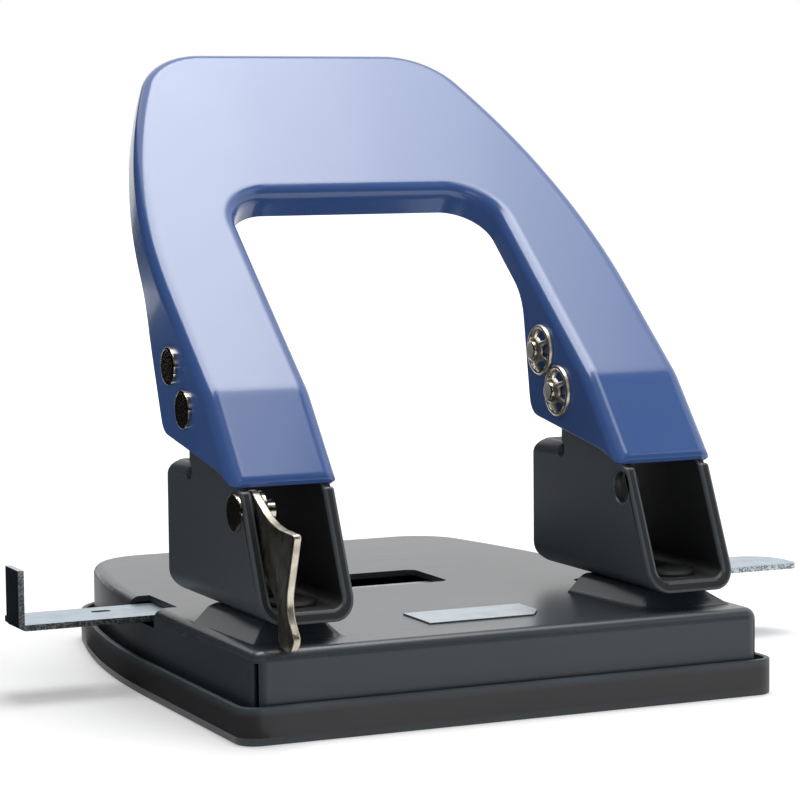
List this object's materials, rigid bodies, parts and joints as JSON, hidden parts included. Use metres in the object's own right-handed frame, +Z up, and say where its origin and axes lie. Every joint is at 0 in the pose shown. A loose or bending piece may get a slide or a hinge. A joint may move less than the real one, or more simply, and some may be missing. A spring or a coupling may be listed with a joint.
{
  "type": "two-hole paper punch",
  "caption": "Desk two-hole paper punch with a sloped pressed-steel handle, twin brackets, sliding paper guide, lock lever and chip tray",
  "frame": {"origin": "centre of the tray's underside, on the table", "axes": "X along the hole line with the upturned guide tab on the -X side, Y from the lock lever side to the paper side, Z up"},
  "size_m": [0.1755, 0.1359, 0.1266],
  "materials": {
    "plate_paint": "satin dark grey paint",
    "bracket_paint": "satin dark grey paint",
    "tray_plastic": "moulded dark grey plastic",
    "handle_paint": "semi-gloss blue paint",
    "tool_steel": "ground steel",
    "spring_steel": "drawn wire",
    "nickel": "nickel plate",
    "zinc": "bright zinc plate",
    "label_foil": "bare silver foil"
  },
  "bodies": {
    "base": {"base_plate": "plate_paint", "bracket_left": "bracket_paint", "bracket_right": "bracket_paint", "bracket_rivets": "bracket_paint", "return_spring_left": "spring_steel", "return_spring_right": "spring_steel", "lock_rivet": "nickel", "lock_washer": "nickel", "guide_straps": "zinc", "label_plate": "label_foil"},
    "handle": {"handle": "handle_paint", "pivot_pin_left": "nickel", "pivot_pin_right": "nickel", "drive_pin_left": "nickel", "drive_pin_right": "nickel", "push_nuts": "nickel"},
    "punch_left": {"punch_left": "tool_steel", "spring_ring_left": "spring_steel"},
    "punch_right": {"punch_right": "tool_steel", "spring_ring_right": "spring_steel"},
    "lock_lever": {"lock_lever": "nickel"},
    "paper_guide": {"paper_guide": "zinc"},
    "chip_tray": {"chip_tray": "tray_plastic"}
  },
  "joints": [
    {"name": "handle_pivot", "type": "hinge", "parent": "base", "child": "handle", "pos_m": [0, -0.0253, 0.0571], "axis": [-1, 0, 0], "range_deg": [0, 50], "stiffness_Nm_per_rad": 0.5, "springref_deg": -34.38},
    {"name": "punch_left_slide", "type": "slide", "parent": "base", "child": "punch_left", "axis": [0, 0, -1], "range_m": [0, 0.0088], "deforming": ["return_spring_left"]},
    {"name": "punch_right_slide", "type": "slide", "parent": "base", "child": "punch_right", "axis": [0, 0, -1], "range_m": [0, 0.0088], "deforming": ["return_spring_right"]},
    {"name": "lock_lever_pivot", "type": "hinge", "parent": "base", "child": "lock_lever", "pos_m": [-0.046, -0.0483, 0.0399], "axis": [-1, 0, 0], "range_deg": [0, 45]},
    {"name": "guide_slide", "type": "slide", "parent": "base", "child": "paper_guide", "axis": [-1, 0, 0], "range_m": [-0.025, 0.0705]},
    {"name": "tray_pull", "type": "slide", "parent": "base", "child": "chip_tray", "axis": [0, 0, -1], "range_m": [0, 0.02]}
  ],
  "couplings": [
    {"joint": "punch_left_slide", "follows": "handle_pivot", "m_per_rad": 0.009876},
    {"joint": "punch_right_slide", "follows": "handle_pivot", "m_per_rad": 0.009876}
  ]
}
